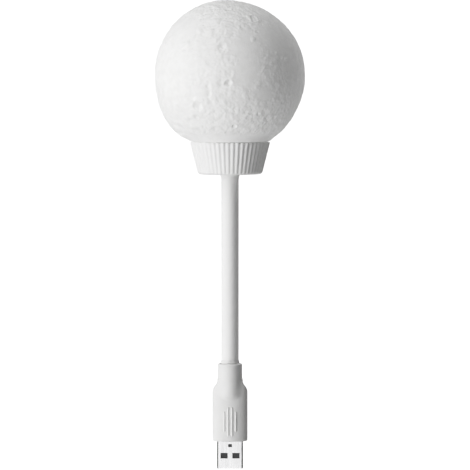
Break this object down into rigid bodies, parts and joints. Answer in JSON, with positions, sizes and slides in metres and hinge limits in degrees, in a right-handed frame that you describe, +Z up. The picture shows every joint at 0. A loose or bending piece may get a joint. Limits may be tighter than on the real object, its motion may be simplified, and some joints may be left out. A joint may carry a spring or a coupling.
{
  "type": "moon lamp",
  "caption": "Plug-in moon lamp: USB-A plug and grip, bendable neck with a smooth sleeve, ribbed tapered collar and a hollow cratered globe.",
  "frame": {"origin": "centre of the grip's flat lower face, where the plug's metal shell comes out", "axes": "+Z up the straight neck towards the globe, -Y the front with the grip's ridges, +X to the right seen from the front"},
  "size_m": [0.0686, 0.0686, 0.2136],
  "materials": {
    "grip_white": "soft white vinyl, fine satin grain",
    "sleeve_white": "smooth white silicone sleeve",
    "collar_white": "white moulded plastic, satin",
    "moon_white": "translucent white plastic, matte, with low relief",
    "shell_steel": "nickel-plated folded steel",
    "insulator_grey": "dark grey insulating plastic, dull",
    "contact_gold": "gold-plated contact strip",
    "core_steel": "coiled steel hose",
    "bushing_white": "white-painted metal",
    "nut_steel": "zinc-plated steel",
    "cable_grey": "two-core cable sheath",
    "lead_red": "red lead insulation",
    "lead_black": "black lead insulation",
    "board_white": "white solder mask on glass fibre board",
    "chip_yellow": "warm white light chip",
    "resistor_black": "chip resistor"
  },
  "bodies": {
    "plug": {"plug_shell": "shell_steel", "plug_tongue": "insulator_grey", "power_contacts": "contact_gold", "data_contacts": "contact_gold", "inner_mould": "insulator_grey", "plug_supply_lead": "lead_red", "plug_return_lead": "lead_black", "plug_overmould": "grip_white", "plug_ferrule": "nut_steel", "neck_sleeve_01": "sleeve_white", "neck_core_01": "core_steel", "neck_cable_01": "cable_grey"},
    "neck_link_02": {"neck_sleeve_02": "sleeve_white", "neck_core_02": "core_steel", "neck_cable_02": "cable_grey"},
    "neck_link_03": {"neck_sleeve_03": "sleeve_white", "neck_core_03": "core_steel", "neck_cable_03": "cable_grey"},
    "neck_link_04": {"neck_sleeve_04": "sleeve_white", "neck_core_04": "core_steel", "neck_cable_04": "cable_grey"},
    "neck_link_05": {"neck_sleeve_05": "sleeve_white", "neck_core_05": "core_steel", "neck_cable_05": "cable_grey"},
    "neck_link_06": {"neck_sleeve_06": "sleeve_white", "neck_core_06": "core_steel", "neck_cable_06": "cable_grey"},
    "neck_link_07": {"neck_sleeve_07": "sleeve_white", "neck_core_07": "core_steel", "neck_cable_07": "cable_grey"},
    "neck_link_08": {"neck_sleeve_08": "sleeve_white", "neck_core_08": "core_steel", "neck_cable_08": "cable_grey"},
    "neck_link_09": {"neck_sleeve_09": "sleeve_white", "neck_core_09": "core_steel", "neck_cable_09": "cable_grey"},
    "neck_link_10": {"neck_sleeve_10": "sleeve_white", "neck_core_10": "core_steel", "neck_cable_10": "cable_grey"},
    "neck_link_11": {"neck_sleeve_11": "sleeve_white", "neck_core_11": "core_steel", "neck_cable_11": "cable_grey"},
    "neck_link_12": {"neck_sleeve_12": "sleeve_white", "neck_core_12": "core_steel", "neck_cable_12": "cable_grey"},
    "head": {"neck_sleeve_13": "sleeve_white", "neck_core_13": "core_steel", "neck_cable_13": "cable_grey", "head_bushing": "bushing_white", "neck_nut": "nut_steel", "ribbed_collar": "collar_white", "led_board": "board_white", "board_screws": "nut_steel", "led_chips": "chip_yellow", "led_resistors": "resistor_black", "head_supply_lead": "lead_red", "head_return_lead": "lead_black", "moon_globe": "moon_white"}
  },
  "joints": [
    {"name": "lower_nod", "type": "hinge", "parent": "plug", "child": "neck_link_02", "pos_m": [0, 0, 0.0407], "axis": [1, 0, 0], "range_deg": [-15, 15]},
    {"name": "lower_sway", "type": "hinge", "parent": "neck_link_02", "child": "neck_link_03", "pos_m": [0, 0, 0.04722], "axis": [0, 1, 0], "range_deg": [-15, 15]},
    {"name": "lower_nod_2", "type": "hinge", "parent": "neck_link_03", "child": "neck_link_04", "pos_m": [0, 0, 0.05374], "axis": [1, 0, 0], "range_deg": [-15, 15]},
    {"name": "lower_sway_2", "type": "hinge", "parent": "neck_link_04", "child": "neck_link_05", "pos_m": [0, 0, 0.06026], "axis": [0, 1, 0], "range_deg": [-15, 15]},
    {"name": "lower_nod_3", "type": "hinge", "parent": "neck_link_05", "child": "neck_link_06", "pos_m": [0, 0, 0.06677], "axis": [1, 0, 0], "range_deg": [-15, 15]},
    {"name": "lower_sway_3", "type": "hinge", "parent": "neck_link_06", "child": "neck_link_07", "pos_m": [0, 0, 0.07329], "axis": [0, 1, 0], "range_deg": [-15, 15]},
    {"name": "upper_nod", "type": "hinge", "parent": "neck_link_07", "child": "neck_link_08", "pos_m": [0, 0, 0.07981], "axis": [1, 0, 0], "range_deg": [-15, 15]},
    {"name": "upper_sway", "type": "hinge", "parent": "neck_link_08", "child": "neck_link_09", "pos_m": [0, 0, 0.08633], "axis": [0, 1, 0], "range_deg": [-15, 15]},
    {"name": "upper_nod_2", "type": "hinge", "parent": "neck_link_09", "child": "neck_link_10", "pos_m": [0, 0, 0.09284], "axis": [1, 0, 0], "range_deg": [-15, 15]},
    {"name": "upper_sway_2", "type": "hinge", "parent": "neck_link_10", "child": "neck_link_11", "pos_m": [0, 0, 0.09936], "axis": [0, 1, 0], "range_deg": [-15, 15]},
    {"name": "upper_nod_3", "type": "hinge", "parent": "neck_link_11", "child": "neck_link_12", "pos_m": [0, 0, 0.10588], "axis": [1, 0, 0], "range_deg": [-15, 15]},
    {"name": "upper_sway_3", "type": "hinge", "parent": "neck_link_12", "child": "head", "pos_m": [0, 0, 0.1124], "axis": [0, 1, 0], "range_deg": [-15, 15]}
  ],
  "couplings": [
    {"joint": "lower_nod_2", "follows": "lower_nod", "ratio": 1},
    {"joint": "lower_nod_3", "follows": "lower_nod", "ratio": 1},
    {"joint": "lower_sway_2", "follows": "lower_sway", "ratio": 1},
    {"joint": "lower_sway_3", "follows": "lower_sway", "ratio": 1},
    {"joint": "upper_nod_2", "follows": "upper_nod", "ratio": 1},
    {"joint": "upper_nod_3", "follows": "upper_nod", "ratio": 1},
    {"joint": "upper_sway_2", "follows": "upper_sway", "ratio": 1},
    {"joint": "upper_sway_3", "follows": "upper_sway", "ratio": 1}
  ]
}
